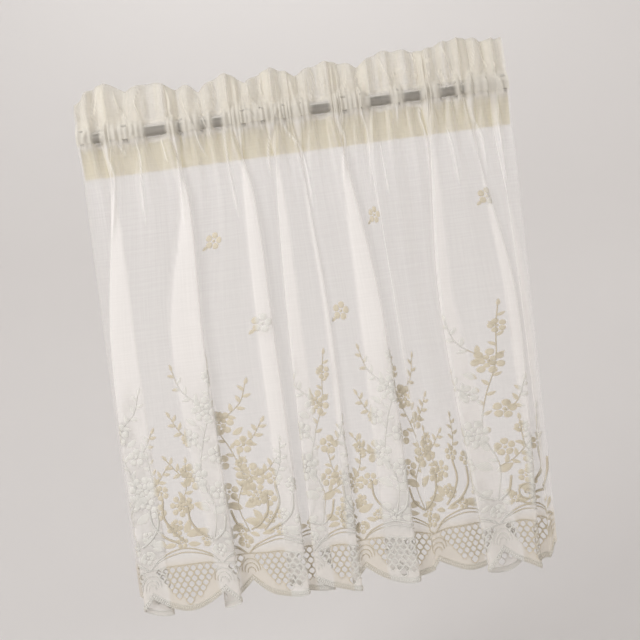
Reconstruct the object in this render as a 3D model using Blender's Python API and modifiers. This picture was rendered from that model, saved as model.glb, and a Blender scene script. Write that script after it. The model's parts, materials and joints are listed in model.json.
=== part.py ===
"""Lace-bordered voile tier curtain, gathered on a plain metal rod.

Frame: +Z up, X along the rod, -Y the side seen from the room, origin at the middle of the rod's
axis. The cloth is one sheet, lofted through level rows: up the doubled cloth and the pocket's back,
over the ruffle, down the pocket's front and through the folds to the scalloped hem. The table of
folds gives each row's path at four heights, and every row has the same columns of places.
"""

import math
from collections import namedtuple

import bmesh
import bpy
import numpy as np

# The cloth as it is cut, in metres.
CLOTH_WIDTH = 1.372
CLOTH_THICKNESS = 0.0011
SCALLOP_COUNT = 11
SCALLOP_WIDTH = CLOTH_WIDTH / SCALLOP_COUNT
SCALLOP_DEPTH = 0.032

# Heights at which the folds are given, and where the cloth's rows lie below the rod.
HEAD_Z, TOP_Z, MID_Z, HEM_Z = -0.020, -0.125, -0.365, -0.783
STATIONS = np.array([HEAD_Z, TOP_Z, MID_Z, HEM_Z])
BODY_Z = (HEAD_Z, -0.070, TOP_Z, -0.225, MID_Z, -0.560)
NET_TOP_Z = -0.737

# The doubled cloth behind the heading: how far back it hangs, and how much of the gathers it keeps.
Facing = namedtuple("Facing", "z back share")
FACING = (Facing(-0.066, 0.0145, 0.20), Facing(HEAD_Z, 0.0048, 1.0))

# The rod, and the pocket round it.
ROD_RADIUS = 0.008
ROD_LENGTH = 0.740
ROD_SIDES = 40
ROD_EDGE_ANGLE = math.radians(40)
POCKET_RADIUS = 0.0109
POCKET_BULGE = 0.0065
POCKET_STEPS = 3
SEAM_SWING = math.radians(34)
SEAM_HALF_GAP = math.radians(11)

# The ruffle above the rod: its outline as seen from the front.
RuffleTop = namedtuple("RuffleTop", "x height")
RUFFLE_OUTLINE = (
    RuffleTop(-0.368, 0.060),
    RuffleTop(-0.341, 0.074),
    RuffleTop(-0.318, 0.089),
    RuffleTop(-0.278, 0.073),
    RuffleTop(-0.219, 0.080),
    RuffleTop(-0.197, 0.066),
    RuffleTop(-0.176, 0.068),
    RuffleTop(-0.155, 0.056),
    RuffleTop(-0.108, 0.078),
    RuffleTop(-0.074, 0.060),
    RuffleTop(-0.034, 0.076),
    RuffleTop(0.003, 0.072),
    RuffleTop(0.010, 0.062),
    RuffleTop(0.074, 0.076),
    RuffleTop(0.119, 0.063),
    RuffleTop(0.165, 0.081),
    RuffleTop(0.239, 0.075),
    RuffleTop(0.293, 0.089),
    RuffleTop(0.341, 0.079),
    RuffleTop(0.369, 0.080),
)
RUFFLE_SWAY = 0.013
RUFFLE_PUFF = 0.0080
RUFFLE_RIDGE = 0.0024
RUFFLE_STEPS = (0.5,)

# The side edges of the hung cloth at the four heights.
LEFT_EDGE = (-0.368, -0.368, -0.368, -0.366)
RIGHT_EDGE = (0.369, 0.368, 0.362, 0.351)

# A row per fold, left to right. head, top, mid, hem: its middle at the four heights.
# lap_top, lap_mid, lap_hem: how wide its three layers lie over each other.
# depth: from its front layer to its back one. lean: 1 with its right edge in front, -1 behind.
# ripples: small gathers at the heading between the fold before and this one.
Fold = namedtuple("Fold", "head top mid hem lap_top lap_mid lap_hem depth lean ripples")
FOLDS = (
    Fold(-0.322, -0.322, -0.338, -0.336, 0.010, 0.042, 0.046, 0.018, -1, 2),
    Fold(-0.203, -0.200, -0.228, -0.210, 0.014, 0.056, 0.032, 0.028, 1, 3),
    Fold(-0.096, -0.092, -0.094, -0.094, 0.018, 0.028, 0.032, 0.018, 1, 4),
    Fold(-0.040, -0.038, -0.044, -0.049, 0.010, 0.022, 0.030, 0.020, -1, 1),
    Fold(0.006, 0.005, 0.013, 0.004, 0.002, 0.008, 0.015, 0.015, 1, 1),
    Fold(0.076, 0.078, 0.088, 0.085, 0.013, 0.040, 0.052, 0.024, 1, 2),
    Fold(0.126, 0.124, 0.132, 0.140, -0.004, 0.003, 0.000, 0.011, -1, 1),
    Fold(0.226, 0.226, 0.218, 0.258, 0.010, 0.026, 0.062, 0.032, -1, 4),
    Fold(0.300, 0.305, 0.328, 0.316, 0.000, 0.018, 0.004, 0.015, 1, 3),
    Fold(0.341, 0.342, 0.350, 0.338, -0.004, 0.012, 0.000, 0.011, -1, 1),
)
LAST_RIPPLES = 1
MAIN_LAP = 0.030
HEAD_LAP = -0.016
HEAD_DEPTH = 0.021
DEPTH_SHARE = (0.0, 0.75, 0.95, 1.12)
EDGE_RUN = (0.006, 0.010, 0.014, 0.014)
RIPPLE_HEIGHT = (0.0135, 0.0035, 0.0020, 0.0022)
FOLD_DROP = 0.009
EDGE_DROP = 0.6

# The openwork net in each scallop: rows of openings that narrow towards its tip.
NET_ROWS = 4
NET_BORDER = 0.012
NET_SPREAD = (0.86, 0.70, 0.50, 0.28)
NET_NARROW, NET_WIDE = 0.011, 0.030
NET_OPEN_SHARE = 0.68

CURVE_STEPS = 8


def clear_scene():
    """Removes every object that the scene starts with."""
    for obj in list(bpy.data.objects):
        bpy.data.objects.remove(obj, do_unlink=True)


def new_collection(name):
    """A collection linked to the scene."""
    collection = bpy.data.collections.new(name)
    bpy.context.scene.collection.children.link(collection)
    return collection


def new_material(name, colour, roughness, metallic):
    """A plain Principled material."""
    material = bpy.data.materials.new(name)
    material.use_nodes = True
    shader = material.node_tree.nodes["Principled BSDF"]
    shader.inputs["Base Color"].default_value = (*colour, 1.0)
    shader.inputs["Roughness"].default_value = roughness
    shader.inputs["Metallic"].default_value = metallic
    return material


def fold_points(fold, k):
    """The guide points (x, y, drop) of one fold at the station k, from left to right of its path."""
    middle = (fold.head, fold.top, fold.mid, fold.hem)[k]
    lap = (HEAD_LAP, fold.lap_top, fold.lap_mid, fold.lap_hem)[k]
    depth = HEAD_DEPTH if k == 0 else fold.depth * DEPTH_SHARE[k]
    right, left = middle + lap / 2, middle - lap / 2
    y_right, y_left = -fold.lean * depth / 2, fold.lean * depth / 2
    points = [
        (right, y_right, 1.0),
        (right, y_right + (y_left - y_right) / 3, 1.0),
        (left, y_left - (y_left - y_right) / 3, 1.0),
        (left, y_left, 1.0),
    ]
    if fold.lap_hem >= MAIN_LAP:
        points.insert(0, (right - EDGE_RUN[k], y_right, EDGE_DROP))
        points.append((left + EDGE_RUN[k], y_left, EDGE_DROP))
    return points


def panel_points(before, after, ripples, k):
    """Guide points between two folds: nearly flat below, in small gathers at the heading."""
    sign = -1.0 if before[1] > 0 else 1.0
    points = []
    for i in range(ripples):
        share = (i + 1) / (ripples + 1)
        x = before[0] + (after[0] - before[0]) * share
        level = 0.0 if k == 0 else before[1] + (after[1] - before[1]) * share
        points.append((x, level + sign * RIPPLE_HEIGHT[k], 0.0))
        sign = -sign
    return points


def guide_points(k):
    """All guide points of the cloth's cross-section at the station k, left edge to right edge."""
    row = [(LEFT_EDGE[k], 0.0, 0.0)]
    for fold in FOLDS:
        points = fold_points(fold, k)
        row += panel_points(row[-1], points[0], fold.ripples, k)
        row += points
    end = (RIGHT_EDGE[k], 0.0, 0.0)
    row += panel_points(row[-1], end, LAST_RIPPLES, k)
    row.append(end)
    return np.array(row)


GUIDES = np.array([guide_points(k) for k in range(len(STATIONS))])
COLUMNS = GUIDES.shape[1]


def guides_at(z):
    """The guide points at any height, on a smooth curve through the four stations."""
    z = min(max(z, STATIONS[-1]), STATIONS[0])
    last = len(STATIONS) - 1
    k = int(min(max(np.searchsorted(-STATIONS, -z) - 1, 0), last - 1))
    span = STATIONS[k + 1] - STATIONS[k]
    t = (z - STATIONS[k]) / span

    def slope(i):
        a, b = max(i - 1, 0), min(i + 1, last)
        return (GUIDES[b] - GUIDES[a]) / (STATIONS[b] - STATIONS[a]) * span

    return (
        (2 * t**3 - 3 * t**2 + 1) * GUIDES[k]
        + (t**3 - 2 * t**2 + t) * slope(k)
        + (3 * t**2 - 2 * t**3) * GUIDES[k + 1]
        + (t**3 - t**2) * slope(k + 1)
    )


def on_curve(points, s):
    """Places on the quadratic spline of the guide points. s counts guide points."""
    padded = np.vstack([2 * points[0] - points[1], points, 2 * points[-1] - points[-2]])
    i = np.clip(np.rint(s).astype(int), 0, len(points) - 1)
    r = (s - i)[:, None]
    return (
        0.5 * (0.5 - r) ** 2 * padded[i]
        + (0.75 - r**2) * padded[i + 1]
        + 0.5 * (0.5 + r) ** 2 * padded[i + 2]
    )


def hung(points, z):
    """(x, y, z) of points with a drop: folds hang lower the nearer they are to the hem."""
    share = np.clip((MID_Z - z) / (MID_Z - HEM_Z), 0.0, 1.0) ** 2
    heights = z - FOLD_DROP * share * points[:, 2]
    return np.column_stack([points[:, 0], points[:, 1], heights])


ALL_COLUMNS = np.arange(COLUMNS, dtype=float)


def body_row(z, columns=ALL_COLUMNS):
    """One row of the hanging cloth, a place for each column."""
    return hung(on_curve(guides_at(z), columns), z)


def flat_places(columns, z):
    """How far across the flat cloth each column lies, measured along its row at this height."""
    fine = np.linspace(0, COLUMNS - 1, (COLUMNS - 1) * CURVE_STEPS + 1)
    points = on_curve(guides_at(z), fine)
    lengths = np.hypot(*np.diff(points[:, :2], axis=0).T)
    along = np.concatenate([[0.0], np.cumsum(lengths)])
    return np.interp(columns, fine, along * CLOTH_WIDTH / along[-1])


def net_columns():
    """The net's columns: those of the folds, and one more halfway across each wide gap."""
    u = flat_places(ALL_COLUMNS, HEM_Z)
    halves = [i + 0.5 for i in range(COLUMNS - 1) if u[i + 1] - u[i] > NET_WIDE]
    return np.array(sorted([*ALL_COLUMNS, *halves]))


def facing_row(facing, head):
    """One row of the doubled cloth, which hangs straight down behind the gathers."""
    y = facing.back + facing.share * head[:, 1]
    return np.column_stack([head[:, 0], y, np.full(len(head), facing.z)])


def polar(x, radius, angle):
    """Places round the rod. The angle runs from straight up towards the room."""
    return np.column_stack([x, -radius * np.sin(angle), radius * np.cos(angle)])


def pocket_rows(head):
    """(front, back, forward): the rod pocket's rows, upper seam to lower, and how far forward."""
    x = head[:, 0]
    forward = np.clip(-head[:, 1] / (HEAD_DEPTH / 2), -1.0, 1.0)
    swing = SEAM_SWING * forward
    front, back = [], []
    for step in range(POCKET_STEPS + 1):
        t = step / POCKET_STEPS
        puff = POCKET_BULGE * math.sin(math.pi * t)
        half = math.pi - 2 * swing - 2 * SEAM_HALF_GAP
        long_half = math.pi + 2 * swing - 2 * SEAM_HALF_GAP
        front_angle = swing + SEAM_HALF_GAP + half * t
        back_angle = swing - SEAM_HALF_GAP - long_half * t
        front.append(polar(x, POCKET_RADIUS + puff * (1 + forward) / 2, front_angle))
        back.append(polar(x, POCKET_RADIUS + puff * (1 - forward) / 2, back_angle))
    return front, back, forward


def ruffle_rows(front_seam, back_seam, forward):
    """Rows of the standing ruffle: up its front, along its top, and down its back."""
    outline = np.array(RUFFLE_OUTLINE)
    x = front_seam[:, 0]
    top = np.column_stack(
        [x, -RUFFLE_SWAY * forward, np.interp(x, outline[:, 0], outline[:, 1])]
    )
    ridge = np.array([0.0, RUFFLE_RIDGE, 0.0])
    front, back = [top - ridge], [top + ridge]
    for t in RUFFLE_STEPS:
        puff = np.array([0.0, RUFFLE_PUFF * math.sin(math.pi * t), 0.0])
        front.append(front_seam + (front[0] - front_seam) * t - puff)
        back.append(back_seam + (back[0] - back_seam) * t + puff)
    return front, back


def cloth_rows():
    """Every row of the sheet, from the facing's edge behind, over the ruffle, to the net."""
    head = on_curve(guides_at(HEAD_Z), ALL_COLUMNS)
    pocket_front, pocket_back, forward = pocket_rows(head)
    ruffle_front, ruffle_back = ruffle_rows(pocket_front[0], pocket_back[0], forward)
    facing = [facing_row(row, head) for row in FACING]
    rows = facing + pocket_back[::-1] + ruffle_back[::-1] + ruffle_front
    return rows + pocket_front + [body_row(z) for z in BODY_Z]


def scallop_places(u):
    """Each column's place in its scallop, from -1 to 1. The column nearest a notch is the notch."""
    notches = [int(np.argmin(np.abs(u - i * SCALLOP_WIDTH))) for i in range(SCALLOP_COUNT + 1)]
    q = np.empty(len(u))
    for left, right in zip(notches, notches[1:]):
        span = slice(left, right)
        q[span] = 2 * (u[span] - u[left]) / (u[right] - u[left]) - 1
    q[-1] = 1.0
    return q


def net_rows(columns, q):
    """Rows from the top of the net to the hem. They bend little by little to the scallops."""

    def bent_row(heights):
        return np.array([body_row(z, columns)[i] for i, z in enumerate(heights)])

    hem = HEM_Z - SCALLOP_DEPTH * (1 - q * q)
    above_border = hem + NET_BORDER
    rows = []
    for step in range(NET_ROWS + 1):
        heights = NET_TOP_Z + (above_border - NET_TOP_Z) * step / NET_ROWS
        rows.append(bent_row(heights))
    rows.append(bent_row(hem))
    return rows


def open_diamond(bm, face, share):
    """Cuts a diamond through the middle of a four-sided face."""
    corners = list(face.verts)
    centre = face.calc_center_median()
    middles = [(corners[i].co + corners[(i + 1) % 4].co) / 2 for i in range(4)]
    tips = [bm.verts.new(centre + (middle - centre) * share) for middle in middles]
    for i in range(4):
        bm.faces.new((corners[i], corners[(i + 1) % 4], tips[i]))
        bm.faces.new((corners[i], tips[i], tips[i - 1]))
    bm.faces.remove(face)


def join_rows(bm, upper, lower):
    """The four-sided faces between two rows with the same columns, left to right."""
    return [
        bm.faces.new((upper[i], lower[i], lower[i + 1], upper[i + 1]))
        for i in range(len(upper) - 1)
    ]


def build_net(bm, last_row):
    """The openwork hem below the last plain row, with its finer columns and its openings."""
    columns = net_columns()
    u = flat_places(columns, HEM_Z)
    q = scallop_places(u)
    rows = [[bm.verts.new(place) for place in row] for row in net_rows(columns, q)]
    whole = np.searchsorted(columns, ALL_COLUMNS)
    for i in range(COLUMNS - 1):
        below = rows[0][whole[i] : whole[i + 1] + 1]
        bm.faces.new((last_row[i], *below, last_row[i + 1]))
    for k in range(len(rows) - 1):
        faces = join_rows(bm, rows[k], rows[k + 1])
        if k == NET_ROWS:
            break
        for i, face in enumerate(faces):
            wide_enough = NET_NARROW < u[i + 1] - u[i] < NET_WIDE
            if wide_enough and abs(q[i] + q[i + 1]) / 2 < NET_SPREAD[k]:
                open_diamond(bm, face, NET_OPEN_SHARE)


def build_cloth(collection, material):
    """The curtain: one sheet with its ruffle, rod pocket, folds and openwork hem."""
    bm = bmesh.new()
    rows = [[bm.verts.new(place) for place in row] for row in cloth_rows()]
    for upper, lower in zip(rows, rows[1:]):
        join_rows(bm, upper, lower)
    build_net(bm, rows[-1])
    bmesh.ops.triangulate(bm, faces=bm.faces, quad_method="SHORT_EDGE")
    mesh = bpy.data.meshes.new("curtain")
    bm.to_mesh(mesh)
    bm.free()
    mesh.materials.append(material)
    mesh.shade_smooth()
    curtain = bpy.data.objects.new("curtain", mesh)
    collection.objects.link(curtain)
    thicken = curtain.modifiers.new("thickness", "SOLIDIFY")
    thicken.thickness = CLOTH_THICKNESS
    thicken.offset = 0.0
    return curtain


def build_rod(collection, material):
    """The rod: a plain round bar along X, with flat ends."""
    bpy.ops.mesh.primitive_cylinder_add(
        vertices=ROD_SIDES,
        radius=ROD_RADIUS,
        depth=ROD_LENGTH,
        location=(0.0, 0.0, 0.0),
        rotation=(0.0, math.pi / 2, 0.0),
    )
    rod = bpy.context.object
    rod.name = "rod"
    rod.data.name = "rod"
    rod.data.materials.append(material)
    rod.data.shade_smooth()
    rod.data.set_sharp_from_angle(angle=ROD_EDGE_ANGLE)
    for other in list(rod.users_collection):
        other.objects.unlink(rod)
    collection.objects.link(rod)
    return rod


def main():
    """Builds the curtain and its rod about the middle of the rod's axis."""
    clear_scene()
    collection = new_collection("voile_tier_curtain")
    voile = new_material("voile", (0.86, 0.84, 0.78), 0.85, 0.0)
    steel = new_material("rod_metal", (0.42, 0.42, 0.42), 0.32, 1.0)
    axis = bpy.data.objects.new("rod_axis", None)
    collection.objects.link(axis)
    for piece in (build_cloth(collection, voile), build_rod(collection, steel)):
        piece.parent = axis


main()
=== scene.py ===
"""Looks of the embroidered voile tier curtain: the thin gathered sheet, its lace and its rod.

The sheet is one cloth in metres. Every place on it has flat coordinates, u across the cut cloth and
z down it, and the drape says where a flat place hangs. Lace and embroidery are drawn flat and then
carried onto the folds.
"""

import json
import logging
import math
from dataclasses import dataclass
from enum import Enum
from typing import NamedTuple, Sequence

import bmesh
import bpy
import numpy as np
from mathutils import Euler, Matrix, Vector

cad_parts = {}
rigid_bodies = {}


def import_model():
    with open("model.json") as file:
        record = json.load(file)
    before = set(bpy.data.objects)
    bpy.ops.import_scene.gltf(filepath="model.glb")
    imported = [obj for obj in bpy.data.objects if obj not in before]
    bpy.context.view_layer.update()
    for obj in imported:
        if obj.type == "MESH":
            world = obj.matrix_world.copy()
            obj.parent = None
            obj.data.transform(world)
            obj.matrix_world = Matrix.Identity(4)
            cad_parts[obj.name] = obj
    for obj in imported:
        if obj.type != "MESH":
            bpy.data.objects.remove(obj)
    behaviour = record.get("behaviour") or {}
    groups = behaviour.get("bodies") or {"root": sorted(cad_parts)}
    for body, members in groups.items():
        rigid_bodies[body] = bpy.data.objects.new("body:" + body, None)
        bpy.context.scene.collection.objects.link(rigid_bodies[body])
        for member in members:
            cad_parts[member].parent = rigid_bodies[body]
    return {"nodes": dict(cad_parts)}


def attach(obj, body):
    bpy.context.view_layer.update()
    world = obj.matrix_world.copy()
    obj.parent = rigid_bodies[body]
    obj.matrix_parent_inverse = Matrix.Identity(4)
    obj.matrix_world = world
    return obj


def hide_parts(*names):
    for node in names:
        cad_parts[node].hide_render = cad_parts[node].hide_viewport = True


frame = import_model()

LOG = logging.getLogger("curtain")
MM = 0.001

# The cloth as it is cut, in metres.
CLOTH_WIDTH = 1.372
SCALLOPS = 11
SCALLOP_WIDTH = CLOTH_WIDTH / SCALLOPS
SCALLOP_DEPTH = 0.032

# Rows of the sheet's heading: the doubled cloth, the pocket's back, the ruffle's back and front
# and the pocket's front. The first three lie behind.
FACING_ROWS, BACK_ROWS, UP_ROWS, DOWN_ROWS, FRONT_ROWS = 4, 6, 6, 12, 10
HIDDEN_ROWS = FACING_ROWS + BACK_ROWS + UP_ROWS

# Heights at which the folds are given.
HEAD_Z, TOP_Z, MID_Z, HEM_Z = -0.020, -0.125, -0.365, -0.783
STATIONS = np.array([HEAD_Z, TOP_Z, MID_Z, HEM_Z])
UPPER_Z = -0.180
NET_TOP_Z = -0.737
LACE_TOP_Z = -0.690


class Fold(NamedTuple):
    """One fold: its middle at four heights, its laps, depth and lean, and the gathers before it."""

    head: float
    top: float
    mid: float
    hem: float
    lap_top: float
    lap_mid: float
    lap_hem: float
    depth: float
    lean: int
    ripples: int


FOLDS = (
    Fold(-0.322, -0.322, -0.338, -0.336, 0.010, 0.042, 0.046, 0.018, -1, 2),
    Fold(-0.203, -0.200, -0.228, -0.210, 0.014, 0.056, 0.032, 0.028, 1, 3),
    Fold(-0.096, -0.092, -0.094, -0.094, 0.018, 0.028, 0.032, 0.018, 1, 4),
    Fold(-0.040, -0.038, -0.044, -0.049, 0.010, 0.022, 0.030, 0.020, -1, 1),
    Fold(0.006, 0.005, 0.013, 0.004, 0.002, 0.008, 0.015, 0.015, 1, 1),
    Fold(0.076, 0.078, 0.088, 0.085, 0.013, 0.040, 0.052, 0.024, 1, 2),
    Fold(0.126, 0.124, 0.132, 0.140, -0.004, 0.003, 0.000, 0.011, -1, 1),
    Fold(0.226, 0.226, 0.218, 0.258, 0.010, 0.026, 0.062, 0.032, -1, 4),
    Fold(0.300, 0.305, 0.328, 0.316, 0.000, 0.018, 0.004, 0.015, 1, 3),
    Fold(0.341, 0.342, 0.350, 0.338, -0.004, 0.012, 0.000, 0.011, -1, 1),
)


class Crease(NamedTuple):
    """One gather's edge at the heading, in millimetres: half width, height and course (x, z)."""

    width: float
    height: float
    course: tuple[tuple[float, float], ...]


CREASES = (
    Crease(4.0, 3.0, ((-322, 88), (-334, 43), (-352, 8), (-362, -14))),
    Crease(2.4, 3.0, ((-298, 76), (-292, 47), (-278, 20), (-271, 2), (-281, -12))),
    Crease(
        3.0, 3.5, ((-309, 34), (-322, 5), (-322, -36), (-313, -69), (-322, -129), (-332, -175))
    ),
    Crease(2.4, 2.5, ((-302, 8), (-299, -20), (-286, -38))),
    Crease(2.2, 2.5, ((-272, 2), (-266, -45), (-270, -92), (-271, -160))),
    Crease(2.6, 3.0, ((-241, 27), (-215, 20), (-204, 2), (-203, -50), (-203, -92), (-206, -170))),
    Crease(2.4, 2.5, ((-211, 76), (-204, 43), (-206, 19))),
    Crease(2.2, 2.0, ((-229, -8), (-226, -30), (-222, -58))),
    Crease(2.6, 3.0, ((-184, 58), (-181, 29), (-169, -3), (-164, -31), (-153, -60))),
    Crease(2.4, 2.5, ((-157, 48), (-153, 10), (-141, -28))),
    Crease(2.6, 3.0, ((-113, 16), (-119, -17), (-120, -59), (-118, -106), (-113, -170))),
    Crease(2.2, 2.5, ((-97, 26), (-80, 12), (-67, 1), (-57, -26))),
    Crease(2.6, 3.0, ((-71, 60), (-67, 30), (-49, 2), (-58, -28))),
    Crease(2.8, 3.5, ((-20, 16), (-36, -17), (-49, -59), (-51, -106))),
    Crease(2.8, 3.5, ((-26, 12), (-14, -31), (5, -60), (12, -106), (14, -170))),
    Crease(2.4, 2.5, ((2, 58), (8, 15), (19, -31))),
    Crease(3.0, 3.5, ((100, 70), (94, 31), (77, 11), (73, -20), (83, -54), (77, -88), (68, -150))),
    Crease(3.0, 3.0, ((124, 66), (112, 35), (119, 13), (116, -20), (123, -60), (115, -160))),
    Crease(2.6, 2.5, ((154, 78), (162, 48), (170, 30), (173, 0), (176, -25), (174, -50))),
    Crease(2.4, 2.5, ((172, 28), (184, 46), (205, 36), (226, 29))),
    Crease(3.0, 3.5, ((232, 22), (226, -4), (214, -30), (219, -60), (222, -90), (219, -155))),
    Crease(2.4, 2.5, ((232, 22), (242, 36), (256, 34), (263, 14), (258, 2))),
    Crease(2.4, 2.5, ((264, 78), (273, 43), (281, 18), (283, -20))),
    Crease(
        3.4, 3.5, ((320, 82), (315, 48), (307, 18), (300, -16), (305, -54), (315, -90), (315, -155))
    ),
    Crease(3.0, 3.0, ((324, 78), (333, 39), (352, 10), (362, -25))),
    Crease(2.4, 2.0, ((354, 40), (341, 23), (315, 18))),
    Crease(2.0, 1.5, ((141, -66), (143, -110), (145, -160))),
    Crease(2.0, 1.5, ((256, -58), (261, -100), (264, -160))),
    Crease(2.4, 2.0, ((343, -50), (345, -100), (346, -170))),
    Crease(2.2, 2.0, ((-44, 72), (-50, 44), (-38, 22), (-28, 10))),
    Crease(2.2, 2.0, ((36, 74), (44, 46), (38, 24), (28, 12))),
    Crease(2.2, 2.0, ((-132, 70), (-126, 44), (-134, 24))),
    Crease(2.2, 2.0, ((-250, 76), (-262, 48), (-256, 24))),
    Crease(2.2, 2.0, ((212, 80), (218, 60), (234, 52), (250, 60))),
)
LEFT_EDGE = (-0.368, -0.368, -0.368, -0.366)
RIGHT_EDGE = (0.369, 0.368, 0.362, 0.351)
LAST_RIPPLES = 1
MAIN_LAP = 0.030
HEAD_LAP = -0.016
HEAD_DEPTH = 0.021
DEPTH_SHARE = (0.0, 0.75, 0.95, 1.12)
EDGE_RUN = (0.006, 0.010, 0.014, 0.014)
RIPPLE_HEIGHT = (0.0135, 0.0035, 0.0020, 0.0022)
FOLD_DROP = 0.009
EDGE_DROP = 0.6


# ---- nodes and colours


def linear(code: str) -> tuple[float, float, float]:
    """Turns an sRGB hex colour to linear light.

    Args:
        code: Six hex digits, such as "F4F0E8".

    Returns:
        Red, green and blue in linear light.
    """
    parts = [int(code[i : i + 2], 16) / 255 for i in (0, 2, 4)]
    return tuple(c / 12.92 if c <= 0.04045 else ((c + 0.055) / 1.055) ** 2.4 for c in parts)


def rgba(code: str) -> tuple[float, float, float, float]:
    """An sRGB hex colour as opaque linear light."""
    return (*linear(code), 1.0)


def add_node(tree, kind: str, settings: dict | None = None, inputs: dict | None = None):
    """Adds one node to a shader or geometry tree.

    Args:
        tree: The node tree.
        kind: The node's Blender type.
        settings: The node's attributes.
        inputs: What each input gets, by its name or index: an output socket or a value.

    Returns:
        The new node.
    """
    node = tree.nodes.new(kind)
    for key, value in (settings or {}).items():
        setattr(node, key, value)
    for socket, content in (inputs or {}).items():
        if isinstance(content, bpy.types.NodeSocket):
            tree.links.new(content, node.inputs[socket])
        else:
            node.inputs[socket].default_value = content
    return node


def attribute(tree, name: str):
    """A stored attribute's value in a shader tree."""
    return add_node(tree, "ShaderNodeAttribute", {"attribute_name": name}).outputs["Fac"]


def calculate(tree, operation: str, *terms, clamp: bool = False):
    """The result of one math node."""
    settings = {"operation": operation, "use_clamp": clamp}
    return add_node(tree, "ShaderNodeMath", settings, dict(enumerate(terms))).outputs[0]


def mix_colours(tree, share, first, second, kind: str = "MIX"):
    """Two colours mixed, the share being that of the second."""
    settings = {"data_type": "RGBA", "blend_type": kind}
    return add_node(tree, "ShaderNodeMix", settings, {0: share, 6: first, 7: second}).outputs[2]


def map_range(tree, value, low: float, high: float, start: float = 0.0, end: float = 1.0):
    """A value's range from start to end mapped to the range from low to high."""
    inputs = {"Value": value, "From Min": start, "From Max": end, "To Min": low, "To Max": high}
    return add_node(tree, "ShaderNodeMapRange", None, inputs).outputs[0]


def streaks(tree, place, scale: tuple[float, float, float], roughness: float = 0.5):
    """Noise that is drawn out along one axis, by its scale on each."""
    mapped = add_node(tree, "ShaderNodeMapping", None, {"Vector": place, "Scale": scale})
    inputs = {"Vector": mapped.outputs[0], "Scale": 1.0, "Detail": 3.0, "Roughness": roughness}
    return add_node(tree, "ShaderNodeTexNoise", None, inputs).outputs["Fac"]


def bump(tree, height, strength: float, distance: float):
    """The normal of a surface with small relief."""
    inputs = {"Height": height, "Strength": strength, "Distance": distance}
    return add_node(tree, "ShaderNodeBump", None, inputs).outputs["Normal"]


def mix_shaders(tree, share, first, second):
    """Two shaders mixed, the share being that of the second."""
    return add_node(tree, "ShaderNodeMixShader", None, {0: share, 1: first, 2: second}).outputs[0]


def yarn_shader(tree, colour, normal, look: tuple[float, float, float], glow: float):
    """Yarn that also lets light through.

    Args:
        tree: The shader tree.
        colour: The yarn's colour.
        normal: Its surface normal.
        look: Its roughness, sheen weight and sheen roughness.
        glow: The share of light that goes through it.

    Returns:
        The shader's output.
    """
    inputs = dict(zip(("Roughness", "Sheen Weight", "Sheen Roughness"), look))
    inputs |= {"Base Color": colour, "Normal": normal}
    yarn = add_node(tree, "ShaderNodeBsdfPrincipled", None, inputs).outputs[0]
    through = add_node(tree, "ShaderNodeBsdfTranslucent", None, {"Color": colour}).outputs[0]
    return mix_shaders(tree, glow, yarn, through)


def new_material(name: str) -> tuple[bpy.types.Material, bpy.types.NodeTree]:
    """An empty node material and its tree."""
    material = bpy.data.materials.new(name)
    material.use_nodes = True
    material.node_tree.nodes.clear()
    return material, material.node_tree


def show(tree, shader) -> None:
    """Makes a shader the material's surface."""
    add_node(tree, "ShaderNodeOutputMaterial", None, {"Surface": shader})


# ---- finishes


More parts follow.
